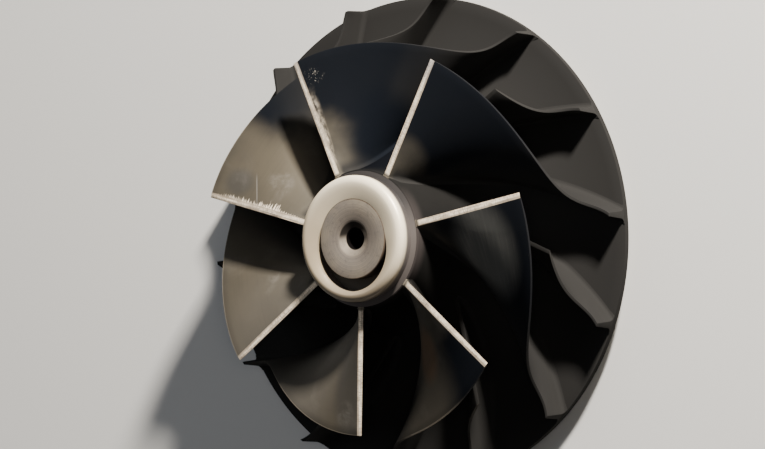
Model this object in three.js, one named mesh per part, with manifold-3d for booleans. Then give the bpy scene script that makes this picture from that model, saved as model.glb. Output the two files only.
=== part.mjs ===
// Open compressor impeller, lying on the rear face of its hub with the inlet facing up.
// Millimetres. Z is the axis of the wheel, and the origin is the centre of the rear hub face.

import * as THREE from 'three';
import Module from 'manifold-3d';
import { mergeVertices } from 'three/addons/utils/BufferGeometryUtils.js';

const wasm = await Module();
wasm.setup();

// Driving dimensions
const bladePairs = 7;
const inducerRadius = 96;
const rimRadius = 120;
const hubRadius = 34;
const rearFaceZ = 6;
const rimDiscThickness = 4;
const exitWidth = 13;
const inducerDepth = 38;
const seatGap = 0.3;

// Heights that follow from them
const rimFrontZ = rearFaceZ + rimDiscThickness;
const exitTipZ = rimFrontZ + exitWidth;
const inletZ = exitTipZ + inducerDepth;

// Blades: the angle is clockwise from +Y as the inlet sees it, and grows along the flow
const firstBladeAngle = THREE.MathUtils.degToRad(-25.7);
const tipWrap = [3.14, -3.58, 1.46];
const rootWrap = [1.22, -0.04, -0.16];
const splitterStart = 0.36;
const tipThickness = 1.3;
const rootThickness = 3.4;
const tipEdgeWidth = 1.8;
const rootEdgeWidth = 2.8;
const tipFlare = 1.5;
const chordSteps = 20;
const spanSteps = 4;

// Nose, shaft and rear of the hub
const shaftRadius = 19.5;
const shaftFaceZ = inletZ + 7.2;
const shaftHeadHeight = 12;
const shaftRearZ = 0.8;
const shaftEdge = 0.7;
const centreHoleRadius = 5.2;
const countersinkRadius = 8.6;
const countersinkDepth = 2.4;
const noseOuterRadius = 30.9;
const noseCrestRadius = 27.6;
const noseTopZ = inletZ + 9;
const noseRoundHeight = 2.8;
const noseDishDepth = noseTopZ - shaftFaceZ;
const noseDishPower = 1.4;
const reliefRadius = 21;
const reliefDrop = 4.7;
const reliefSide = 0.5;
const reliefLength = 40;
const bossRadius = 37;
const bossEdge = 0.8;
const sealInnerRadius = 60;
const sealGroove = 2.4;
const sealLands = 3;
const sealHeight = 3.6;

// The hub is cut into rings at these fractions of the way from the inlet to the rim
const neckEnd = 0.25;
const flareEnd = 0.6;
const roundSteps = 64;
const smallRoundSteps = 48;

function steel(color, roughness, metalness) {
  return new THREE.MeshStandardMaterial({ color, roughness, metalness });
}

function namedMesh(name, geometry, material) {
  const mesh = new THREE.Mesh(geometry, material);
  mesh.name = name;
  return mesh;
}

function cubic([first, second, third], t) {
  return first * t + second * t * t + third * t * t * t;
}

// Quarter ellipses, axial at the inlet and radial at the rim
function hubContour(t) {
  const turn = (t * Math.PI) / 2;
  return new THREE.Vector2(
    hubRadius + (rimRadius - hubRadius) * (1 - Math.cos(turn)),
    inletZ - (inletZ - rimFrontZ) * Math.sin(turn),
  );
}

// The tip line keeps the inlet radius for longer before it turns out to the rim
function tipContour(t) {
  const turn = (t * Math.PI) / 2;
  return new THREE.Vector2(
    inducerRadius + (rimRadius - inducerRadius) * (1 - Math.cos(turn)) ** tipFlare,
    inletZ - inducerDepth * Math.sin(turn),
  );
}

// The root of a blade runs just clear of the hub
function rootContour(t) {
  const turn = (t * Math.PI) / 2;
  const normal = new THREE.Vector2(
    (inletZ - rimFrontZ) * Math.cos(turn),
    (rimRadius - hubRadius) * Math.sin(turn),
  ).normalize();
  const point = hubContour(t).addScaledVector(normal, seatGap);
  point.x = Math.min(point.x, rimRadius);
  return point;
}

function aroundAxis(radius, clockwise, z) {
  return new THREE.Vector3(radius * Math.sin(clockwise), radius * Math.cos(clockwise), z);
}

// A point of the blade's middle surface: straight lines from the root curve to the tip curve
function camberPoint(t, span) {
  const root = rootContour(t);
  const tip = tipContour(t);
  const rootPoint = aroundAxis(root.x, cubic(rootWrap, t), root.y);
  const tipPoint = aroundAxis(tip.x, cubic(tipWrap, t), tip.y);
  return rootPoint.lerp(tipPoint, span);
}

// How much wider than its own thickness the blade is when it is measured around the axis
function slantFactor(t, span) {
  const step = 0.01;
  const along = camberPoint(t + step, span).sub(camberPoint(t - step, span));
  const across = camberPoint(t, span + step).sub(camberPoint(t, span - step));
  const normal = along.cross(across).normalize();
  const point = camberPoint(t, span);
  const around = new THREE.Vector3(point.y, -point.x, 0).normalize();
  return 1 / Math.abs(normal.dot(around));
}

// The blade's width around the axis, narrowed to a thin cut edge where the air comes in
function widthAround(t, span, isEdge) {
  if (isEdge) return THREE.MathUtils.lerp(rootEdgeWidth, tipEdgeWidth, span);
  return THREE.MathUtils.lerp(rootThickness, tipThickness, span) * slantFactor(t, span);
}

// A box is bent onto the blade: its X is the thickness, its Y the chord and its Z the span
function bladeGeometry(start, steps) {
  const geometry = new THREE.BoxGeometry(1, 1, 1, 1, steps, spanSteps);
  const place = geometry.attributes.position;
  for (let index = 0; index < place.count; index += 1) {
    const t = THREE.MathUtils.lerp(start, 1, place.getY(index) + 0.5);
    const span = place.getZ(index) + 0.5;
    const point = camberPoint(t, span);
    const radius = Math.hypot(point.x, point.y);
    const clockwise = Math.atan2(point.x, point.y);
    const shift = (place.getX(index) * widthAround(t, span, t === start)) / radius;
    const bent = aroundAxis(radius, clockwise + shift, point.z);
    place.setXYZ(index, bent.x, bent.y, bent.z);
  }
  return geometry;
}

function lathe(points, steps) {
  const closed = [...points, points[0]];
  const geometry = new THREE.LatheGeometry(closed, steps);
  geometry.rotateX(Math.PI / 2);
  return geometry;
}

function hubStretch(from, to, steps) {
  const points = [];
  for (let index = 0; index <= steps; index += 1) {
    points.push(hubContour(THREE.MathUtils.lerp(from, to, index / steps)));
  }
  return points;
}

function toSolid(geometry) {
  const plain = geometry.clone();
  plain.deleteAttribute('normal');
  plain.deleteAttribute('uv');
  const merged = mergeVertices(plain, 1e-4);
  const vertProperties = new Float32Array(merged.attributes.position.array);
  const triVerts = new Uint32Array(merged.index.array);
  return new wasm.Manifold(new wasm.Mesh({ numProp: 3, vertProperties, triVerts }));
}

function fromSolid(solid) {
  const mesh = solid.getMesh();
  const geometry = new THREE.BufferGeometry();
  geometry.setAttribute('position', new THREE.BufferAttribute(mesh.vertProperties, 3));
  geometry.setIndex(new THREE.BufferAttribute(mesh.triVerts, 1));
  geometry.computeVertexNormals();
  return geometry;
}

const boreRadius = shaftRadius + seatGap;
const wheel = new THREE.Group();

function addHub() {
  const milled = steel(0x8a857a, 0.42, 0.9);
  const neckFoot = hubContour(neckEnd);
  const flareFoot = hubContour(flareEnd);

  const neck = hubStretch(0, neckEnd, 5);
  neck.push(new THREE.Vector2(boreRadius, neckFoot.y), new THREE.Vector2(boreRadius, inletZ));
  wheel.add(namedMesh('hub_neck', lathe(neck.reverse(), roundSteps), milled));

  const flare = hubStretch(neckEnd, flareEnd, 7);
  flare[flare.length - 1].x -= seatGap;
  flare.push(new THREE.Vector2(flareFoot.x - seatGap, rearFaceZ));
  flare.push(new THREE.Vector2(boreRadius, rearFaceZ), new THREE.Vector2(boreRadius, neckFoot.y));
  wheel.add(namedMesh('hub_flare', lathe(flare.reverse(), roundSteps), milled));

  const disc = hubStretch(flareEnd, 1, 8);
  disc.push(new THREE.Vector2(rimRadius, rearFaceZ), new THREE.Vector2(flareFoot.x, rearFaceZ));
  wheel.add(namedMesh('back_disc', lathe(disc.reverse(), roundSteps), milled));
}

function addBlades() {
  const milled = steel(0x9a9484, 0.38, 0.9);
  const full = bladeGeometry(0, chordSteps);
  const splitter = bladeGeometry(splitterStart, Math.round(chordSteps * (1 - splitterStart)));
  const pitch = (2 * Math.PI) / bladePairs;
  for (let index = 0; index < bladePairs; index += 1) {
    const angle = firstBladeAngle + index * pitch;
    const blade = namedMesh(`full_blade_${index + 1}`, full.clone(), milled);
    blade.rotation.z = -angle;
    const half = namedMesh(`splitter_blade_${index + 1}`, splitter.clone(), milled);
    half.rotation.z = -(angle + pitch / 2);
    wheel.add(blade, half);
  }
}

// The nose is round outside and dished inside, and its recess is opened out to one side
function addNose() {
  const roundZ = noseTopZ - noseRoundHeight;
  const points = [new THREE.Vector2(boreRadius, inletZ), new THREE.Vector2(hubRadius, inletZ)];
  const roundPoints = 6;
  for (let index = 0; index < roundPoints; index += 1) {
    const turn = (index / roundPoints) * (Math.PI / 2);
    points.push(new THREE.Vector2(
      noseCrestRadius + (noseOuterRadius - noseCrestRadius) * Math.cos(turn),
      roundZ + noseRoundHeight * Math.sin(turn),
    ));
  }
  for (let index = 0; index <= roundPoints; index += 1) {
    const inward = index / roundPoints;
    points.push(new THREE.Vector2(
      THREE.MathUtils.lerp(noseCrestRadius, boreRadius, inward),
      noseTopZ - noseDishDepth * inward ** noseDishPower,
    ));
  }
  const ring = toSolid(lathe(points, roundSteps));
  const relief = new THREE.CylinderGeometry(
    reliefRadius, reliefRadius, reliefLength, smallRoundSteps,
  );
  relief.rotateX(Math.PI / 2);
  relief.translate(-reliefSide, -reliefDrop, inletZ);
  const nose = fromSolid(ring.subtract(toSolid(relief)));
  wheel.add(namedMesh('nose_ring', nose, steel(0xb9b3a6, 0.55, 0.8)));
}

function addShaft() {
  const turned = steel(0x8c8a92, 0.4, 0.9);
  const headFoot = shaftFaceZ - shaftHeadHeight;
  const head = [
    new THREE.Vector2(centreHoleRadius, headFoot),
    new THREE.Vector2(shaftRadius, headFoot),
    new THREE.Vector2(shaftRadius, shaftFaceZ - shaftEdge),
    new THREE.Vector2(shaftRadius - shaftEdge, shaftFaceZ),
    new THREE.Vector2(countersinkRadius, shaftFaceZ),
    new THREE.Vector2(centreHoleRadius, shaftFaceZ - countersinkDepth),
  ];
  wheel.add(namedMesh('shaft_end', lathe(head, smallRoundSteps), turned));

  const stub = new THREE.CylinderGeometry(
    shaftRadius, shaftRadius, headFoot - shaftRearZ, smallRoundSteps,
  );
  stub.rotateX(Math.PI / 2);
  stub.translate(0, 0, (headFoot + shaftRearZ) / 2);
  wheel.add(namedMesh('shaft_stub', stub, turned));
}

function addRear() {
  const turned = steel(0x8a857a, 0.45, 0.9);
  const boss = [
    new THREE.Vector2(boreRadius, 0),
    new THREE.Vector2(bossRadius - bossEdge, 0),
    new THREE.Vector2(bossRadius, bossEdge),
    new THREE.Vector2(bossRadius, rearFaceZ),
    new THREE.Vector2(boreRadius, rearFaceZ),
  ];
  wheel.add(namedMesh('rear_boss', lathe(boss, smallRoundSteps), turned));

  for (let index = 0; index < sealLands; index += 1) {
    const inner = sealInnerRadius - index * 2 * sealGroove;
    const land = [
      new THREE.Vector2(inner, rearFaceZ - sealHeight),
      new THREE.Vector2(inner + sealGroove, rearFaceZ - sealHeight),
      new THREE.Vector2(inner + sealGroove, rearFaceZ),
      new THREE.Vector2(inner, rearFaceZ),
    ];
    wheel.add(namedMesh(`seal_land_${index + 1}`, lathe(land, smallRoundSteps), turned));
  }
}

addHub();
addBlades();
addNose();
addShaft();
addRear();

export default wheel;
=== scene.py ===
import math
import bpy
from mathutils import Matrix, Vector


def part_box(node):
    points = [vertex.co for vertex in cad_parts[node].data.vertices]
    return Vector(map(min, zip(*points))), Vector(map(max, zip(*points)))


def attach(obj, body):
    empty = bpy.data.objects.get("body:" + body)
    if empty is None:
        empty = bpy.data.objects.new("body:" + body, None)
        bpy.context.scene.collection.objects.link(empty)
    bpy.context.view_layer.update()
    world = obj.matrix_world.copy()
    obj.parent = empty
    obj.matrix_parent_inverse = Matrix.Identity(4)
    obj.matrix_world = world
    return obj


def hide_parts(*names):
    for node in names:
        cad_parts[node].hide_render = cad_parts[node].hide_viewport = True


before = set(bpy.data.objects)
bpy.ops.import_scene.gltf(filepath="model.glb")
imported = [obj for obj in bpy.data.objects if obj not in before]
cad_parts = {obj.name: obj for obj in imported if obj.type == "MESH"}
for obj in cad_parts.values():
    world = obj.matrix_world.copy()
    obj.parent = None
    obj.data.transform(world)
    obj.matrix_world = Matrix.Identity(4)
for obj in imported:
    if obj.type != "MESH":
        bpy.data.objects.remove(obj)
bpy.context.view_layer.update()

mm = 0.001
turn = 2 * math.pi
weldReach = 0.01 * mm
edgeSteps = 4  # cuts round a broken edge


# The wheel's own sizes, read from the frame where it holds them

discLow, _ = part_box("back_disc")
_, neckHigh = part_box("hub_neck")
shaftLow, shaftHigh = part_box("shaft_end")
_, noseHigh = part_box("nose_ring")
_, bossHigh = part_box("rear_boss")
_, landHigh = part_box("seal_land_1")
rimThickness = 4 * mm

wheel = {
    "pairs": 7,
    "rimRadius": 120 * mm,
    "inducerRadius": 96 * mm,
    "hubRadius": 34 * mm,
    "boreRadius": 19.55 * mm,
    "inletZ": neckHigh.z,
    "rearZ": discLow.z,
    "rimFrontZ": discLow.z + rimThickness,
    "inducerDepth": 38 * mm,
    "tipFlare": 1.5,
    "firstAngle": math.radians(-25.7),
    "tipWrap": (3.14, -3.58, 1.46),  # radians for t, its square and its cube
    "rootWrap": (1.22, -0.04, -0.16),
    "splitterStart": 0.36,
}


def cubic(factors, t):
    return factors[0] * t + factors[1] * t ** 2 + factors[2] * t ** 3


def mixed(low, high, share):
    return low + (high - low) * share


def hubContour(t):
    # t runs from 0 at the inlet to 1 at the rim
    bend = t * math.pi / 2
    radius = mixed(wheel["rimRadius"], wheel["hubRadius"], math.cos(bend))
    return radius, mixed(wheel["inletZ"], wheel["rimFrontZ"], math.sin(bend))


def tipContour(t):
    bend = t * math.pi / 2
    flare = max(1 - math.cos(bend), 0) ** wheel["tipFlare"]
    radius = mixed(wheel["inducerRadius"], wheel["rimRadius"], flare)
    return radius, wheel["inletZ"] - wheel["inducerDepth"] * math.sin(bend)


def aroundAxis(radius, clockwise, height):
    return Vector((radius * math.sin(clockwise), radius * math.cos(clockwise), height))


# The camera stands where the photograph was taken from: the wheel's axis leans to the picture's left

camera = {
    "tilt": math.radians(36.4),  # between the wheel's axis and the line of sight
    "swing": math.radians(178.9),  # where the axis leans to, counted from the picture's right
    "focalPixels": 4800,
    "pictureWidth": 765,
    "pictureHeight": 449,
    "inletCentre": (361.3, 238.8),  # pixels from the left and from the top
    "inducerPixels": 197,  # its radius in the picture
    "sensorWidth": 36,
    "clip": (0.05, 60),
}


def cameraAxes():
    # the wheel's X, Y and Z as the picture shows them, one to a row
    tilt, swing = camera["tilt"], camera["swing"]
    lean = math.sin(tilt)
    wheelZ = Vector((lean * math.cos(swing), lean * math.sin(swing), math.cos(tilt)))
    wheelY = (Vector((0, 1, 0)) - wheelZ * wheelZ.y).normalized()
    return Matrix((wheelY.cross(wheelZ), wheelY, wheelZ))


def addCamera():
    distance = wheel["inducerRadius"] * camera["focalPixels"] / camera["inducerPixels"]
    pixel = distance / camera["focalPixels"]
    across = (camera["inletCentre"][0] - camera["pictureWidth"] / 2) * pixel
    upward = (camera["pictureHeight"] / 2 - camera["inletCentre"][1]) * pixel
    axes = cameraAxes()
    place = axes @ Vector((-across, -upward, distance)) + Vector((0, 0, wheel["inletZ"]))
    bpy.ops.object.camera_add()
    made = bpy.context.active_object
    made.matrix_world = Matrix.Translation(place) @ axes.to_4x4()
    made.data.sensor_width = camera["sensorWidth"]
    made.data.lens = camera["sensorWidth"] * camera["focalPixels"] / camera["pictureWidth"]
    made.data.clip_start, made.data.clip_end = camera["clip"]
    bpy.context.scene.camera = made
    print("camera placed")


# Modelling: selecting, edit mode, modifiers and turned shapes

def deselectAll():
    if bpy.context.mode != "OBJECT":
        bpy.ops.object.mode_set(mode="OBJECT")
    bpy.ops.object.select_all(action="DESELECT")


def pick(piece):
    deselectAll()
    piece.select_set(True)
    bpy.context.view_layer.objects.active = piece


def edit(piece):
    pick(piece)
    bpy.ops.object.mode_set(mode="EDIT")
    bpy.ops.mesh.select_mode(type="VERT")
    bpy.ops.mesh.select_all(action="SELECT")


def leaveEdit():
    bpy.ops.object.mode_set(mode="OBJECT")


def applyModifier(piece, kind, **settings):
    pick(piece)
    made = piece.modifiers.new(kind.lower(), kind)
    for key, value in settings.items():
        setattr(made, key, value)
    bpy.ops.object.modifier_apply(modifier=made.name)


def smooth(piece, degrees):
    pick(piece)
    bpy.ops.object.shade_smooth_by_angle(angle=math.radians(degrees))


def closeUp(piece):
    edit(piece)
    bpy.ops.mesh.remove_doubles(threshold=weldReach)
    bpy.ops.mesh.normals_make_consistent(inside=False)
    leaveEdit()


def finishPiece(piece, name, nodes, material):
    piece.name = name
    piece.data.name = name
    piece.data.materials.clear()
    piece.data.materials.append(material)
    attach(piece, "root")
    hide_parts(*nodes)


def spun(profile, steps):
    # one corner is extruded along the outline, which is then spun round the axis
    bpy.ops.mesh.primitive_plane_add(size=1 * mm, location=(0, 0, 0))
    piece = bpy.context.active_object
    edit(piece)
    bpy.ops.mesh.merge(type="CENTER")
    bpy.ops.transform.translate(value=(profile[0][0], 0, profile[0][1]))
    for last, point in zip(profile, profile[1:]):
        step = (point[0] - last[0], 0, point[1] - last[1])
        bpy.ops.mesh.extrude_region_move(TRANSFORM_OT_translate={"value": step})
    bpy.ops.mesh.select_all(action="SELECT")
    bpy.ops.mesh.remove_doubles(threshold=weldReach)
    bpy.ops.mesh.select_all(action="SELECT")
    bpy.ops.mesh.spin(steps=steps, angle=turn, center=(0, 0, 0), axis=(0, 0, 1))
    leaveEdit()
    closeUp(piece)
    return piece


def arc(centre, reachX, reachZ, start, end, steps):
    # points round part of an ellipse, from start to end in quarter turns from +X towards +Z
    points = []
    for index in range(steps + 1):
        bend = mixed(start, end, index / steps) * math.pi / 2
        points.append((centre[0] + reachX * math.cos(bend), centre[1] + reachZ * math.sin(bend)))
    return points


# Shader maths

class Wire:
    def __init__(self, finish, socket):
        self.finish = finish
        self.socket = socket

    def join(self, operation, first, second, clamp=False):
        settings = {"operation": operation, "use_clamp": clamp}
        return self.finish.node("ShaderNodeMath", settings, {0: first, 1: second})

    def __add__(self, other):
        return self.join("ADD", self, other)

    def __radd__(self, other):
        return self.join("ADD", other, self)

    def __sub__(self, other):
        return self.join("SUBTRACT", self, other)

    def __rsub__(self, other):
        return self.join("SUBTRACT", other, self)

    def __mul__(self, other):
        return self.join("MULTIPLY", self, other)

    def __rmul__(self, other):
        return self.join("MULTIPLY", other, self)

    def __truediv__(self, other):
        return self.join("DIVIDE", self, other)

    def __pow__(self, other):
        return self.join("POWER", self, other)

    def most(self, other):
        return self.join("MAXIMUM", self, other)

    def clamped(self):
        return self.join("ADD", self, 0.0, clamp=True)

    def between(self, low, high):
        # 0 up to low, 1 from high on
        settings = {"interpolation_type": "SMOOTHSTEP", "clamp": True}
        return self.finish.node("ShaderNodeMapRange", settings, {0: self, 1: low, 2: high})

    def outside(self, low, high):
        # 1 up to low, 0 from high on
        return 1 - self.between(low, high)


class Finish:
    def __init__(self, name):
        self.material = bpy.data.materials.new(name)
        self.material.use_nodes = True
        self.tree = self.material.node_tree
        self.tree.nodes.clear()
        self.place = self.node("ShaderNodeTexCoord", output="Object")
        self.x, self.y, self.height = self.split(self.place)

    def node(self, kind, settings=None, inputs=None, output=0):
        made = self.tree.nodes.new(kind)
        for key, value in (settings or {}).items():
            setattr(made, key, value)
        for key, value in (inputs or {}).items():
            if isinstance(value, Wire):
                self.tree.links.new(value.socket, made.inputs[key])
            else:
                made.inputs[key].default_value = value
        return Wire(self, made.outputs[output]) if made.outputs else None

    def split(self, vector):
        outputs = self.node("ShaderNodeSeparateXYZ", None, {0: vector}).socket.node.outputs
        return [Wire(self, outputs[index]) for index in range(3)]

    def joined(self, *places):
        return self.node("ShaderNodeCombineXYZ", None, dict(enumerate(places)))

    def attribute(self, name, output="Vector"):
        return self.node("ShaderNodeAttribute", {"attribute_name": name}, output=output)

    def mix(self, amount, first, second):
        pair = [c if isinstance(c, Wire) else (*c, 1) for c in (first, second)]
        inputs = {0: amount, 6: pair[0], 7: pair[1]}
        return self.node("ShaderNodeMix", {"data_type": "RGBA"}, inputs, output=2)

    def noise(self, scale, detail, roughness, distortion=0.0, vector=None):
        return self.node("ShaderNodeTexNoise", None, {
            "Vector": vector or self.place, "Scale": scale, "Detail": detail,
            "Roughness": roughness, "Distortion": distortion,
        })

    def marks(self, detail, roughness, places, counts):
        # noise that is packed together or drawn out along each place by a count of its own
        packed = [place * count for place, count in zip(places, counts)]
        return self.noise(1.0, detail, roughness, vector=self.joined(*packed))

    def radius(self):
        return (self.x * self.x + self.y * self.y) ** 0.5

    def toward(self, way):
        # how far out a point lies along a way across the wheel
        return self.x * way[0] + self.y * way[1]

    def vectorMaths(self, operation, first, second=(0, 0, 0), output=0):
        inputs = {0: first, 1: second}
        return self.node("ShaderNodeVectorMath", {"operation": operation}, inputs, output)

    def away(self, centre):
        return self.vectorMaths("DISTANCE", self.place, centre, "Value")

    def spot(self, area):
        # full strength up to 0.4 of a patch's reach, none beyond the whole of it
        centre, reach, share = area
        apart = self.vectorMaths("SUBTRACT", self.place, centre)
        scaled = self.vectorMaths("DIVIDE", apart, reach)
        return self.vectorMaths("LENGTH", scaled, output="Value").outside(0.4, 1.0) * share

    def spots(self, areas):
        total = 0.0
        for area in areas:
            total = self.spot(area) + total
        return total

    def bump(self, height, depth, strength, under=None):
        inputs = {"Height": height, "Distance": depth, "Strength": strength}
        if under:
            inputs["Normal"] = under
        return self.node("ShaderNodeBump", None, inputs)

    def close(self, color, roughness, metallic, normal, specular):
        shader = self.node("ShaderNodeBsdfPrincipled", None, {
            "Base Color": color, "Roughness": roughness, "Metallic": metallic, "Normal": normal,
            "Specular IOR Level": specular,
        })
        self.node("ShaderNodeOutputMaterial", None, {"Surface": shader})
        return self.material


def patch(centre, reach, share=1.0):
    # a mark on the wheel, in millimetres: its middle, its reach along X, Y and Z, its strength
    return [size * mm for size in centre], [size * mm for size in reach], share


# Blades: satin flanks with shade painted dark over one side and down the passages, thin edges cut
# bare and bright where the air comes in

rightFlank = (69, -7, 54), (23, 32, 26)

bladeLook = {
    "khaki": (0.104, 0.089, 0.066),
    "shade": (0.062, 0.056, 0.046),
    # pale colour of wear, also used for a pool of painted light
    "wornAndLit": (0.25, 0.23, 0.205),
    "charcoal": (0.115, 0.115, 0.108),
    "rubbed": (0.062, 0.059, 0.055),
    "stain": (0.13, 0.082, 0.05),
    "paintedShadow": (0.0048, 0.0062, 0.0092),
    # colour of the painted shade down the passages, in the hub corners and low near the cut edge
    "deep": (0.024, 0.023, 0.022),
    "bare": (1.0, 0.86, 0.68),
    "cream": (0.56, 0.47, 0.36),
    "groove": (0.34, 0.27, 0.20),
    "edgeShade": (0.22, 0.24, 0.29),
    "roughness": 0.48,
    "metallic": 0.3,
    "specular": 0.03,
    "sheenReach": (0, 45 * mm),
    "grainDepth": 0.04 * mm,
    "cutDepth": 0.15 * mm,
    "drawnMarks": (26, 640),  # per metre along the blade and up it
    "tickMarks": (90, 1100),
    "dabMarks": (420, 150),
    "grooveMarks": (1.4, 45, 3),  # across the cut edge, then per metre up it and down it
    "fileMarks": (0.6, 1500),
    "mottleMarks": (130, 130, 0.4),  # per metre down the cut edge and up it, then across it
    # the middle of the part left free of painted shade, and how far from it the painted shade starts
    # and is full
    "unshadedCentre": (-34 * mm, -25 * mm, 45 * mm),
    "unshadedReach": (64 * mm, 93 * mm),
    "paintedShadeWander": 12 * mm,
    "paintedShadeShare": 0.98,
    # patches where the painted shade is lifted
    "paintedShadeThin": (
        patch((28, -78, 42), (34, 46, 44), 0.75),
        patch(*rightFlank, 0.1),
        patch((-78, 40, 55), (22, 26, 20), 0.9),
        patch((24, 38, 57), (13, 17, 13), 0.5),
    ),
    # one spot of painted shadow, as a neighbouring blade would cast
    "paintedShadeThick": patch((0, 52, 42), (28, 28, 24), 0.98),
    "footShadeReach": (6 * mm, 42 * mm),
    "footShadeShare": 0.6,
    "litSide": patch((-52, -58, 48), (54, 52, 30), 0.25),
    "smearShare": 0.22,
    "smudge": patch((-77, 28, 59), (12, 9, 12), 0.6),
    "greyEdge": patch((-9, -72, 59), (15, 34, 10), 0.6),
    "palePatches": (
        patch((-10, -86, 58), (8, 8, 9), 0.4),
        patch((-62, -21, 49), (5, 11, 12), 0.4),
        patch((-55, 26, 54), (9, 14, 10), 0.4),
        patch((-38, -75, 49), (1.8, 4.5, 7), 0.4),
    ),
    "brownPatch": patch((33, -56, 48), (12, 18, 26), 0.7),
    "charcoalPatch": patch(*rightFlank, 0.75),
    "drawnLines": patch(*rightFlank, 0.22),
    "flecks": patch((-31, 80, 58), (7, 5, 14), 0.9),
    "scratch": patch((-66, 24, 58), (8, 10, 16), 0.6),
    "scratchWay": (1, 0.233),
    "scratchOut": -60.75 * mm,
    "scratchWidth": 0.45 * mm,
    "deepHeight": (32 * mm, 49 * mm),
    "deepShare": 0.95,
    "cornerReach": (2.5 * mm, 8 * mm),
    "cornerStart": (1 * mm, 6 * mm),
    "lowHeight": (42 * mm, 47 * mm),
    "lowReach": (25 * mm, 50 * mm),
    "lowShare": 0.8,
    "inletDepth": (4 * mm, 1 * mm),
    "edgeReach": (0.1 * mm, 0.4 * mm),
    "edgeStart": (0.2 * mm, 2.4 * mm),
    "rimReach": (0.1 * mm, 0.5 * mm),
    "rimShare": 0.3,
    "raggedLeft": patch((-62, 14, 61), (34, 18, 16)),
    "raggedTop": patch((-24, 54, 61), (15, 28, 16)),
    "burrReach": 6 * mm,
    "burrFade": 1.1 * mm,
    "scuffShare": 0.85,
    "dabReach": (0.2 * mm, 3.4 * mm),
    "seamPlace": -0.3,
    "seamSpread": 0.06,  # square of the seam's half width, on an edge that runs from -1 to 1
    "edgeShadeEnds": patch((4, 92, 61), (62, 26, 20), 0.75),
}


class BladeLayers(Finish):
    # the places and layers that more than one step of the blades' finish uses
    def __init__(self, look):
        super().__init__("bladeMetal")
        self.fromEdge, self.fromTip, self.fromHub = self.split(self.attribute("bladePlace"))
        self.side = self.attribute("bladeSide", "Fac")
        self.cloud = self.noise(16, 4, 0.6).between(0.36, 0.66)
        self.fine = self.noise(420, 3, 0.6)
        self.smear = self.noise(38, 4, 0.6, distortion=0.6)
        self.drawn = self.marks(4, 0.6, (self.fromEdge, self.fromHub), look["drawnMarks"])
        # painted shade: near-black painted over one side of the wheel, lifted in a few patches and
        # full in one spot of painted shadow
        paintedShade = self.away(look["unshadedCentre"]) + (self.cloud - 0.5) * look["paintedShadeWander"]
        paintedShade = paintedShade.between(*look["unshadedReach"]) * look["paintedShadeShare"]
        self.castShadow = self.spot(look["paintedShadeThick"])
        self.paintedShade = (paintedShade * (1 - self.spots(look["paintedShadeThin"]))).most(self.castShadow)
        self.clean = 1 - self.paintedShade
        self.stain = self.spot(look["brownPatch"])
        # painted shade darkens the blades down the passages and into the corners at the hub
        self.deep = self.height.outside(*look["deepHeight"]) * look["deepShare"]
        corner = self.fromHub.outside(*look["cornerReach"]) * look["deepShare"]
        self.corner = corner * self.fromEdge.between(*look["cornerStart"])
        # the edge is filed bare near the inlet only
        self.shallow = self.height.between(*[wheel["inletZ"] - depth for depth in look["inletDepth"]])
        cutFace = self.fromEdge.outside(*look["edgeReach"]) * self.shallow
        self.cutFace = cutFace * self.fromHub.between(*look["edgeStart"])
        self.blotch = self.noise(55, 2, 0.5).between(0.4, 0.62)
        self.ragged = self.spot(look["raggedLeft"])
        self.ticks = self.marks(3, 0.7, (self.fromEdge, self.fromHub), look["tickMarks"])
        self.filed = self.marks(1, 0.5, (self.side, self.fromHub), look["fileMarks"])
        places = (self.side, self.fromHub, self.fromTip)
        self.grooves = self.marks(3, 0.6, places, look["grooveMarks"]).between(0.45, 0.7)


def flankColor(finish, look):
    color = finish.mix(finish.cloud * 0.6, look["khaki"], look["shade"])
    color = finish.mix(finish.drawn.between(0.45, 0.8) * 0.25, color, look["shade"])
    # painted shade on the flanks near the hub
    foot = finish.fromHub.outside(*look["footShadeReach"]) * look["footShadeShare"]
    color = finish.mix(foot, color, look["shade"])
    color = finish.mix(finish.spot(look["smudge"]), color, look["rubbed"])
    # painted shade over one side of the wheel
    color = finish.mix(finish.paintedShade, color, look["paintedShadow"])
    color = finish.mix(finish.spot(look["charcoalPatch"]), color, look["charcoal"])
    # a pool of painted light over the petals at the lower left
    color = finish.mix(finish.spot(look["litSide"]) * finish.clean, color, look["wornAndLit"])
    smeared = finish.smear.between(0.48, 0.78) * finish.clean * look["smearShare"]
    color = finish.mix(smeared, color, look["wornAndLit"])
    color = finish.mix(finish.spot(look["greyEdge"]), color, look["rubbed"])
    blotchy = finish.noise(100, 4, 0.6, distortion=0.3).between(0.4, 0.72)
    color = finish.mix(finish.spots(look["palePatches"]) * blotchy, color, look["wornAndLit"])
    return finish.mix(finish.stain, color, look["stain"])


def flankMarks(finish, look):
    # flecks, drawn lines and a long scratch, each on a blade of its own
    flecks = finish.noise(1100, 2, 0.7).between(0.60, 0.68) * finish.spot(look["flecks"])
    lines = (finish.drawn + finish.smear - 0.5).between(0.4, 0.8) * finish.spot(look["drawnLines"])
    aside = (finish.toward(look["scratchWay"]) - look["scratchOut"]) / look["scratchWidth"]
    scratch = (1 - aside * aside).clamped() * finish.spot(look["scratch"])
    return (flecks + lines + scratch).clamped()


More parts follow.
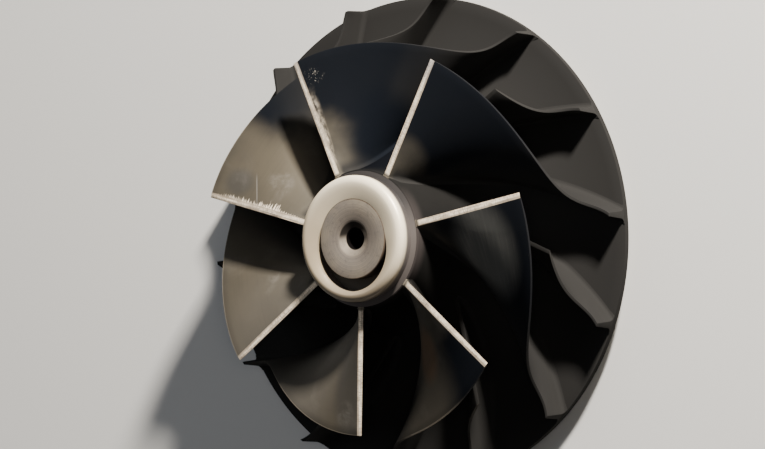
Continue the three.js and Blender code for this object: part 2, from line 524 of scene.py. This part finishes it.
def bareEdge(finish, look):
    # where metal shows bare: the cut edge, burrs and dabs that run off it, a thin rim at the tip
    fromEdge = finish.fromEdge
    dabs = finish.marks(3, 0.6, (fromEdge, finish.fromHub), look["dabMarks"]).between(0.34, 0.7)
    dabs = dabs * fromEdge.outside(*look["dabReach"]) * finish.spot(look["raggedTop"])
    rough = 0.06 + finish.ragged * (0.35 + finish.blotch * 0.65)
    reach = look["burrReach"] * rough * finish.ticks.between(0.32, 0.72)
    burrs = ((reach - fromEdge) / look["burrFade"]).clamped()
    scuff = (burrs + dabs).clamped() * finish.shallow * look["scuffShare"]
    rim = finish.fromTip.outside(*look["rimReach"]) * (1 - finish.deep) * look["rimShare"]
    # scuffs are dimmed and the tip rim left out where shade is painted
    return (finish.cutFace + scuff * (1 - finish.paintedShade * 0.5) + rim * finish.clean).clamped()


def cutColor(finish, look):
    # grooves and a seam along the cut, file marks across it, painted shade on two outer ends
    side = finish.side
    fromSeam = side - look["seamPlace"]
    seam = (1 - fromSeam * fromSeam / look["seamSpread"]).clamped()
    seam = seam * (finish.blotch + finish.ragged).clamped()
    sides = side * side * side * side * finish.cutFace
    places = (finish.fromTip, finish.fromHub, side)
    mottle = finish.marks(2, 0.5, places, look["mottleMarks"]).between(0.42, 0.6)
    color = finish.mix(mottle * 0.75, look["bare"], look["cream"])
    grooved = (finish.grooves * 0.4 + seam * 0.8 + sides * 0.75).clamped()
    color = finish.mix(grooved, color, look["groove"])
    filed = finish.filed.between(0.42, 0.7) * (0.35 + finish.blotch * 0.4)
    color = finish.mix(filed, color, look["groove"])
    return finish.mix(finish.spot(look["edgeShadeEnds"]), color, look["edgeShade"])


def bladeFinish():
    look = bladeLook
    finish = BladeLayers(look)
    paintedShade, deep, corner, stain = finish.paintedShade, finish.deep, finish.corner, finish.stain
    color = finish.mix(flankMarks(finish, look), flankColor(finish, look), look["wornAndLit"])
    # painted shade low down near the cut edge, down the passages and in the corners at the hub
    low = finish.fromEdge.outside(*look["lowReach"]) * finish.height.outside(*look["lowHeight"])
    color = finish.mix((deep + corner + low * look["lowShare"]).clamped(), color, look["deep"])
    # the spot of painted shadow, over everything else
    color = finish.mix(finish.castShadow, color, look["paintedShadow"])
    edge = bareEdge(finish, look)
    color = finish.mix(edge, color, cutColor(finish, look))
    # rougher where shade is painted and on the stain
    shadeAndStain = (deep + corner + stain + paintedShade * 0.4).clamped()
    roughness = look["roughness"] + (finish.fine - 0.5) * 0.15 + shadeAndStain * 0.3 - edge * 0.14
    normal = finish.bump(finish.drawn, look["grainDepth"], 0.3)
    normal = finish.bump(finish.fine, look["grainDepth"], 0.3, normal)
    carved = (finish.grooves + finish.filed + finish.ticks) * finish.cutFace * -1
    normal = finish.bump(carved, look["cutDepth"], 0.6, normal)
    # no sheen where shade is painted, on the stain or on the cut edge
    shadeStainAndCut = (paintedShade * (1 - deep) + corner + stain) * 0.95 + edge
    sheen = finish.fromHub.between(*look["sheenReach"]) * (1 - shadeStainAndCut).clamped()
    return finish.close(color, roughness, look["metallic"] * sheen, normal, look["specular"])


# Hub: turned, pale on the neck, painted near-black down the flare as shade, clean behind

hubLook = {
    "neck": (0.052, 0.044, 0.042),
    "flare": (0.012, 0.0115, 0.011),
    "recess": (0.06, 0.056, 0.052),
    "deep": (0.026, 0.025, 0.024),
    "paintedShadow": (0.004, 0.0045, 0.006),
    "rear": (0.40, 0.39, 0.36),
    "roughness": 0.45,
    "grimyRoughness": 0.25,
    "metallic": 0.6,
    "neckMetallic": 0.3,
    "specular": 0.0,
    "ringPitch": 0.8 * mm,
    "grainDepth": 0.05 * mm,
    "neckHeight": (54 * mm, 59 * mm),
    "neckMiddle": -4 * mm,
    "neckReach": 30 * mm,
    "deepHeight": (16 * mm, 44 * mm),
    "deepShare": 0.9,
    "rearEdge": (0.1 * mm, 0.6 * mm),
    "recessHeight": (50 * mm, 52 * mm),
    "recessRadius": (28 * mm, 29 * mm),
    "paintedShadeThick": patch((2, 44, 42), (28, 28, 28)),
}


def hubFinish():
    look = hubLook
    finish = Finish("hubMetal")
    height, radius = finish.height, finish.radius()
    cloud = finish.noise(30, 4, 0.6).between(0.3, 0.7)
    fine = finish.noise(420, 3, 0.6)
    rings = finish.noise(1.0, 2, 0.6, vector=finish.joined((radius - height) / look["ringPitch"]))
    beside = finish.y - look["neckMiddle"]
    neck = (1 - beside * beside / look["neckReach"] ** 2).clamped()
    neck = neck * height.between(*look["neckHeight"])
    deep = height.outside(*look["deepHeight"]) * look["deepShare"]
    behind = height.outside(*[wheel["rearZ"] + edge for edge in look["rearEdge"]])
    recess = height.between(*look["recessHeight"]) * radius.outside(*look["recessRadius"])
    # the flare is painted near-black as shade
    color = finish.mix(neck, look["flare"], look["neck"])
    color = finish.mix(deep, color, look["deep"])
    color = finish.mix(behind, color, look["rear"])
    color = finish.mix(cloud * 0.4, color, finish.mix(0.5, color, look["deep"]))
    color = finish.mix(recess, color, look["recess"])
    # one spot of painted shadow, kept out of the recess
    color = finish.mix(finish.spot(look["paintedShadeThick"]) * (1 - recess), color, look["paintedShadow"])
    roughness = look["roughness"] + (fine - 0.5) * 0.15 + (rings - 0.5) * 0.12
    roughness = roughness + (deep + 1 - behind) * look["grimyRoughness"]
    normal = finish.bump(rings, look["grainDepth"], 0.35)
    normal = finish.bump(fine, look["grainDepth"], 0.3, normal)
    metallic = look["metallic"] * (neck * look["neckMetallic"] + behind)
    return finish.close(color, roughness, metallic, normal, look["specular"])


# Nose: pale and blasted on top, darker on its flank, with a painted highlight round the crest,
# painted shadow on the flank's upper part and painted shade towards the bottom of the picture

noseLook = {
    "base": (0.45, 0.365, 0.248),
    "warm": (0.33, 0.262, 0.17),
    "paintedHighlight": (1.0, 0.87, 0.66),
    "side": (0.11, 0.095, 0.088),
    "sideTopShadow": (0.022, 0.020, 0.020),
    "lower": (0.14, 0.113, 0.086),
    "roughness": 0.40,
    "metallic": 0.12,
    "specular": 0.45,
    "grainDepth": 0.05 * mm,
    "lowerShadeEnd": (-27 * mm, -12 * mm),
    "lowerShadeShare": 0.55,
    "crestRadius": (24 * mm, 28.5 * mm),
    "paintedHighlightWay": (0.5, 0.87),
    "paintedHighlightReach": (-16 * mm, 24 * mm),
    "sideHeight": (64.8 * mm, 67 * mm),
    "sideTopShadowHeight": (63.5 * mm, 66 * mm),
    "sideTopShadowReach": (2 * mm, 22 * mm),
    "sideTopShadowShare": 0.9,
}


def noseFinish():
    look = noseLook
    finish = Finish("noseMetal")
    cloud = finish.noise(40, 4, 0.6).between(0.35, 0.75)
    grain = finish.noise(1500, 2, 0.6)
    color = finish.mix(cloud * 0.5, look["base"], look["warm"])
    # painted shade towards the bottom
    lower = finish.y.outside(*look["lowerShadeEnd"]) * look["lowerShadeShare"]
    color = finish.mix(lower, color, look["lower"])
    # painted highlight round the crest, most on one side
    crest = 0.6 + finish.radius().between(*look["crestRadius"]) * 0.4
    crest = crest * finish.toward(look["paintedHighlightWay"]).between(*look["paintedHighlightReach"])
    color = finish.mix(crest, color, look["paintedHighlight"])
    # painted shadow on the upper part of the flank
    upper = finish.y.between(*look["sideTopShadowReach"]) * finish.height.outside(*look["sideTopShadowHeight"])
    side = finish.mix(upper * look["sideTopShadowShare"], look["side"], look["sideTopShadow"])
    color = finish.mix(finish.height.outside(*look["sideHeight"]), color, side)
    roughness = look["roughness"] + (grain - 0.5) * 0.12
    normal = finish.bump(grain, look["grainDepth"], 0.4)
    return finish.close(color, roughness, look["metallic"], normal, look["specular"])


# Shaft end: fine turned rings, khaki towards the rim, a pale countersink with painted shade in its
# hole, over its upper side and down the shaft's flank

shaftLook = {
    "base": (0.31, 0.262, 0.215),
    "khaki": (0.42, 0.345, 0.25),
    "dark": (0.10, 0.086, 0.082),
    "brown": (0.10, 0.055, 0.03),
    "cone": (0.42, 0.36, 0.29),
    # near-black of the painted shade
    "hole": (0.010, 0.008, 0.008),
    "roughness": 0.44,
    "metallic": 0.6,
    "specular": 0.2,
    "ringsPerMetre": 2200,
    "ringWander": 1.4,
    "ringDepth": 0.08 * mm,
    "khakiRadius": (9 * mm, 18 * mm),
    "coneRadius": (8.0 * mm, 8.8 * mm),
    "holeRadius": (5.3 * mm, 5.6 * mm),
    "faceHeight": (66.7 * mm, 67.7 * mm),
    "flankRadius": (17 * mm, 18 * mm),
    "shadowWay": (-0.24, 0.97),
    "shadowReach": (0.5 * mm, 4 * mm),
    "shadowShare": 0.92,
    "seamRadius": (18.9 * mm, 19.3 * mm),
    "seamWay": (0.8, 0.6),
    "seamReach": (2 * mm, 10 * mm),
}


def shaftFinish():
    look = shaftLook
    finish = Finish("shaftSteel")
    radius = finish.radius()
    cloud = finish.noise(70, 4, 0.6).between(0.35, 0.7)
    grit = finish.noise(520, 3, 0.7).between(0.5, 0.75)
    wander = finish.noise(60, 1, 0.5) * look["ringWander"]
    rings = finish.joined(radius * look["ringsPerMetre"] + wander)
    rings = finish.noise(1.0, 3, 0.7, vector=rings)
    khaki = radius.between(*look["khakiRadius"]) * cloud
    cone = radius.outside(*look["coneRadius"])
    below = finish.height.outside(*look["faceHeight"])
    shadow = finish.toward(look["shadowWay"]).between(*look["shadowReach"]) * look["shadowShare"]
    hole = (below * radius.outside(*look["holeRadius"]) + cone * shadow).clamped()
    seam = finish.toward(look["seamWay"]).between(*look["seamReach"])
    seam = seam * radius.between(*look["seamRadius"])
    flank = below * radius.between(*look["flankRadius"])
    color = finish.mix(khaki * 0.8, look["base"], look["khaki"])
    color = finish.mix(rings.between(0.40, 0.66) * 0.45, color, look["dark"])
    color = finish.mix(cone * 0.7, color, look["cone"])
    color = finish.mix(seam * 0.7, color, look["brown"])
    # painted shade in the hole, over the countersink's upper side and down the shaft's flank
    color = finish.mix((hole + flank * 0.9).clamped(), color, look["hole"])
    color = finish.mix(grit * (1 - hole) * 0.35, color, look["dark"])
    roughness = look["roughness"] + (rings - 0.5) * 0.25
    normal = finish.bump(rings, look["ringDepth"], 0.6)
    return finish.close(color, roughness, look["metallic"], normal, look["specular"])


materials = {
    "blade": bladeFinish(),
    "hub": hubFinish(),
    "nose": noseFinish(),
    "shaft": shaftFinish(),
}
print("materials made")


# Blades: a grid is extruded to a thin sheet, then laid along the ruled surface

blade = {
    "fullCuts": 110,
    "splitterCuts": 72,
    "cutGather": 1.5,  # above 1, the cuts lie closer together towards the inlet
    "spanRows": 14,
    "flowShare": 0.6,  # how far up the blade its length is measured
    "tipThickness": 1.3 * mm,
    "rootThickness": 3.4 * mm,
    "tipEdgeWidth": 1.8 * mm,
    "rootEdgeWidth": 2.8 * mm,
    "edgeTaper": 0.05,
    "fillet": 2.4 * mm,
    "edgeFillet": 0.35 * mm,
    "filletRows": (-0.3, 0.0, 0.05, 0.14, 0.28, 0.48, 0.72, 1.0),  # up from the hub, in fillets
    "bevel": 0.42 * mm,
    "bevelSteps": 3,
    "bevelAngle": 50,
    "smoothAngle": 40,
}


def camberPoint(t, share):
    rootRadius, rootHeight = hubContour(t)
    tipRadius, tipHeight = tipContour(t)
    root = aroundAxis(rootRadius, cubic(wheel["rootWrap"], t), rootHeight)
    tip = aroundAxis(tipRadius, cubic(wheel["tipWrap"], t), tipHeight)
    return root.lerp(tip, share)


def slant(t, share):
    # how much wider the blade is around the axis than it is thick
    step = 0.01
    along = camberPoint(t + step, share) - camberPoint(t - step, share)
    across = camberPoint(t, share + step) - camberPoint(t, share - step)
    point = camberPoint(t, share)
    around = Vector((point.y, -point.x, 0)).normalized()
    return 1 / abs(along.cross(across).normalized().dot(around))


def halfWidth(t, start, share, distance):
    # half the blade's width around the axis, with the fillet at its foot
    share = max(share, 0)
    full = mixed(blade["rootThickness"], blade["tipThickness"], share) * slant(t, share)
    edge = mixed(blade["rootEdgeWidth"], blade["tipEdgeWidth"], share)
    widened = min((t - start) / blade["edgeTaper"], 1)
    reach = mixed(blade["edgeFillet"], blade["fillet"], widened)
    flare = 0
    if distance < reach:
        left = reach - max(distance, 0)
        flare = reach - math.sqrt(reach ** 2 - left ** 2)
    return mixed(edge, full, math.sqrt(widened)) / 2 + flare


def layBlade(piece, start, cuts, low):
    # moves each corner of the sheet on to the blade and notes its place there for the finish
    attributes = piece.data.attributes
    attributes.new("bladePlace", "FLOAT_VECTOR", "POINT")
    attributes.new("bladeSide", "FLOAT", "POINT")
    columns = [mixed(start, 1, (index / cuts) ** blade["cutGather"]) for index in range(cuts + 1)]
    line = [camberPoint(t, blade["flowShare"]) for t in columns]
    flow = [0.0]
    for first, second in zip(line, line[1:]):
        flow.append(flow[-1] + (second - first).length)
    lastRow = len(low) + blade["spanRows"] - 1
    for vertex in piece.data.vertices:
        column = round((vertex.co.x + 0.5) * cuts)
        row = round((vertex.co.y + 0.5) * lastRow)
        t = columns[column]
        length = (camberPoint(t, 1) - camberPoint(t, 0)).length
        if row < len(low):
            distance = low[row]
        else:
            distance = mixed(low[-1], length, (row - len(low) + 1) / blade["spanRows"])
        point = camberPoint(t, distance / length)
        side = -1 if vertex.co.z > 0.5 else 1
        radius = math.hypot(point.x, point.y)
        shift = side * halfWidth(t, start, distance / length, distance) / radius
        vertex.co = aroundAxis(radius, math.atan2(point.x, point.y) + shift, point.z)
        place = (flow[column], length - distance, distance)
        attributes["bladePlace"].data[vertex.index].vector = place
        attributes["bladeSide"].data[vertex.index].value = side


def modelBlade(start, cuts):
    low = [row * blade["fillet"] for row in blade["filletRows"]]
    rowGaps = len(low) + blade["spanRows"] - 1
    bpy.ops.mesh.primitive_grid_add(x_subdivisions=cuts, y_subdivisions=rowGaps, size=1)
    piece = bpy.context.active_object
    edit(piece)
    bpy.ops.mesh.extrude_region_move(TRANSFORM_OT_translate={"value": (0, 0, 1)})
    leaveEdit()
    layBlade(piece, start, cuts, low)
    closeUp(piece)
    applyModifier(piece, "BEVEL", width=blade["bevel"], segments=blade["bevelSteps"],
                  limit_method="ANGLE", angle_limit=math.radians(blade["bevelAngle"]))
    smooth(piece, blade["smoothAngle"])
    return piece


def addBlade(pattern, angle, name, node):
    pick(pattern)
    bpy.ops.object.duplicate(linked=False)
    piece = bpy.context.active_object
    piece.rotation_euler = (0, 0, -angle)
    bpy.ops.object.transform_apply(location=True, rotation=True, scale=True)
    finishPiece(piece, name, [node], materials["blade"])


def addBlades():
    pitch = turn / wheel["pairs"]
    full = modelBlade(0.0, blade["fullCuts"])
    splitter = modelBlade(wheel["splitterStart"], blade["splitterCuts"])
    for index in range(wheel["pairs"]):
        angle = wheel["firstAngle"] + index * pitch
        number = index + 1
        addBlade(full, angle, f"milled_full_blade_{number}", f"full_blade_{number}")
        angle += pitch / 2
        addBlade(splitter, angle, f"milled_splitter_{number}", f"splitter_blade_{number}")
    for pattern in (full, splitter):
        bpy.data.objects.remove(pattern)
    print("blades made")


# Hub, back disc, rear boss and seal lands: one forging, turned

hub = {
    "steps": 192,
    "contourCuts": 48,
    "bossRadius": bossHigh.x,
    "bossEdge": 0.8 * mm,
    "rimEdge": 0.5 * mm,
    "shoulder": 1.0 * mm,
    "lands": 3,
    "landStep": 4.8 * mm,
    "landWidth": 2.4 * mm,
    "landHeight": 3.6 * mm,
    "landOuter": landHigh.x,
    "landEdge": 0.25 * mm,
    "smoothAngle": 30,
}


def addHub():
    edge, rim, bore = hub["bossEdge"], hub["rimEdge"], wheel["boreRadius"]
    rear, top, outer = wheel["rearZ"], wheel["inletZ"], wheel["rimRadius"]
    boss = hub["bossRadius"]
    # from the bore out over the boss, the lands and the rim, then back up the flowing front
    profile = [(bore, edge), (bore + edge, 0), (boss - edge, 0), (boss, edge)]
    profile += arc((boss + edge, rear - edge), edge, edge, 2, 1, edgeSteps)
    bevel, low = hub["landEdge"], rear - hub["landHeight"]
    for land in reversed(range(hub["lands"])):
        outside = hub["landOuter"] - land * hub["landStep"]
        inside = outside - hub["landWidth"]
        profile += [(inside, rear), (inside, low + bevel), (inside + bevel, low)]
        profile += [(outside - bevel, low), (outside, low + bevel), (outside, rear)]
    profile += [(outer - rim, rear), (outer, rear + rim), (outer, wheel["rimFrontZ"] - rim)]
    for index in range(1, hub["contourCuts"]):
        profile.append(hubContour(1 - index / hub["contourCuts"]))
    shoulder = hub["shoulder"]
    centre = (wheel["hubRadius"] - shoulder, top - shoulder)
    profile += arc(centre, shoulder, shoulder, 0, 1, edgeSteps)
    profile += [(bore, top), (bore, edge)]
    piece = spun(profile, hub["steps"])
    smooth(piece, hub["smoothAngle"])
    nodes = ["hub_neck", "hub_flare", "back_disc", "rear_boss"]
    nodes += [f"seal_land_{number + 1}" for number in range(hub["lands"])]
    finishPiece(piece, "hub_forging", nodes, materials["hub"])
    print("hub made")


# Nose ring: round outside, dished inside, its recess opened out to one side

nose = {
    "steps": 192,
    "outerRadius": 30.9 * mm,
    "crestRadius": 27.6 * mm,
    "topZ": noseHigh.z,
    "roundHeight": 2.8 * mm,
    "dishDepth": noseHigh.z - shaftHigh.z,
    "dishPower": 1.4,
    "footRadius": 33.2 * mm,
    "footHeight": 1.2 * mm,
    "reliefRadius": 21 * mm,
    "reliefDrop": 4.7 * mm,  # how far the pocket lies towards -Y
    "reliefSide": 0.5 * mm,  # and towards -X
    "blend": 0.5 * mm,
    "roundSteps": 14,
    "dishSteps": 22,
    "smoothAngle": 50,
}


def openingRadius(x, y):
    # how far out the recess reaches: the bore, joined with a round pocket set to one side
    pocketX, pocketY = -nose["reliefSide"], -nose["reliefDrop"]
    along = pocketX * x + pocketY * y
    beside = pocketX * y - pocketY * x
    reach = along + math.sqrt(nose["reliefRadius"] ** 2 - beside ** 2)
    gap = abs(reach - wheel["boreRadius"])
    return max(reach, wheel["boreRadius"]) + max(nose["blend"] - gap, 0) ** 2 / (4 * nose["blend"])


def addNose():
    base = wheel["inletZ"]
    crest, bore, outer = nose["crestRadius"], wheel["boreRadius"], nose["outerRadius"]
    roundZ = nose["topZ"] - nose["roundHeight"]
    profile = [(bore, base), (nose["footRadius"], base), (outer, base + nose["footHeight"])]
    profile += arc((crest, roundZ), outer - crest, nose["roundHeight"], 0, 1, nose["roundSteps"])
    for index in range(1, nose["dishSteps"] + 1):
        inward = index / nose["dishSteps"]
        drop = nose["dishDepth"] * inward ** nose["dishPower"]
        profile.append((mixed(crest, bore, inward), nose["topZ"] - drop))
    profile.append((bore, base))
    piece = spun(profile, nose["steps"])
    for vertex in piece.data.vertices:
        radius = math.hypot(vertex.co.x, vertex.co.y)
        if radius < crest:
            opening = openingRadius(vertex.co.x / radius, vertex.co.y / radius)
            share = (crest - radius) / (crest - bore)
            moved = mixed(crest, opening, share) / radius
            vertex.co.x *= moved
            vertex.co.y *= moved
    smooth(piece, nose["smoothAngle"])
    finishPiece(piece, "blasted_nose_ring", ["nose_ring"], materials["nose"])
    print("nose made")


# Shaft end with its countersunk centre hole

shaft = {
    "steps": 128,
    "radius": shaftHigh.x,
    "topZ": shaftHigh.z,
    "footZ": shaftLow.z,
    "edge": 0.3 * mm,
    "sinkRadius": 8.6 * mm,
    "holeRadius": 5.2 * mm,
    "sinkDepth": 2.4 * mm,
    "sinkEdge": 0.9 * mm,
    "smoothAngle": 30,
}


def addShaft():
    top, foot, radius, edge = shaft["topZ"], shaft["footZ"], shaft["radius"], shaft["edge"]
    sink, hole, soft = shaft["sinkRadius"], shaft["holeRadius"], shaft["sinkEdge"]
    profile = [(hole, foot), (radius, foot)]
    profile += arc((radius - edge, top - edge), edge, edge, 0, 1, edgeSteps)
    profile += [(sink + soft, top), (sink, top - soft / 2), (hole, top - shaft["sinkDepth"])]
    profile.append((hole, foot))
    piece = spun(profile, shaft["steps"])
    smooth(piece, shaft["smoothAngle"])
    finishPiece(piece, "turned_shaft_end", ["shaft_end"], materials["shaft"])
    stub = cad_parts["shaft_stub"]
    stub.data.materials.clear()
    stub.data.materials.append(materials["shaft"])
    print("shaft made")


# Plain pale floor in a dim cool room: a strong warm light from above the picture, a weak warm one
# from the viewer and a weak cool one from the left

stage = {
    "floorSize": 30,
    "floor": (0.70, 0.69, 0.67),
    "floorShade": (0.672, 0.6624, 0.6432),
    "floorRoughness": 0.85,
    "floorSpecular": 0.2,
    "world": (0.60, 0.65, 0.74),
    "worldStrength": 0.068,
}

# around is clockwise from +Y and rise is up from the floor, in degrees; away is in metres
lights = {
    "key": {"around": 34, "rise": 21, "away": 1.5, "size": 0.14, "power": 96,
            "color": (1.0, 0.95, 0.87)},
    "glint": {"around": 90, "rise": 54, "away": 1.7, "size": 0.4, "power": 2.5,
              "color": (1.0, 0.94, 0.86)},
    "sky": {"around": -60, "rise": 58, "away": 1.8, "size": 1.1, "power": 4,
            "color": (0.84, 0.91, 1.0)},
}


def floorFinish():
    finish = Finish("floorPaper")
    shade = finish.noise(3, 2, 0.5)
    color = finish.mix(shade * 0.1, stage["floor"], stage["floorShade"])
    normal = finish.bump(shade, 0.1 * mm, 0.1)
    return finish.close(color, stage["floorRoughness"], 0.0, normal, stage["floorSpecular"])


def addLight(name, setting):
    rise = math.radians(setting["rise"])
    toward = aroundAxis(math.cos(rise), math.radians(setting["around"]), math.sin(rise))
    aim = Vector((0, 0, wheel["inletZ"]))
    bpy.ops.object.light_add(type="AREA", location=aim + toward * setting["away"])
    lamp = bpy.context.active_object
    lamp.name = name
    lamp.data.energy = setting["power"]
    lamp.data.size = setting["size"]
    lamp.data.color = setting["color"]
    lamp.rotation_euler = (-toward).to_track_quat("-Z", "Y").to_euler()


def addStage():
    bpy.ops.mesh.primitive_plane_add(size=stage["floorSize"], location=(0, 0, 0))
    floor = bpy.context.active_object
    floor.name = "floor"
    floor.data.materials.append(floorFinish())
    world = bpy.data.worlds.new("softRoom")
    world.use_nodes = True
    background = world.node_tree.nodes["Background"]
    background.inputs["Color"].default_value = (*stage["world"], 1)
    background.inputs["Strength"].default_value = stage["worldStrength"]
    bpy.context.scene.world = world
    for name, setting in lights.items():
        addLight(name, setting)
    print("stage made")


addCamera()
addHub()
addBlades()
addNose()
addShaft()
addStage()
deselectAll()
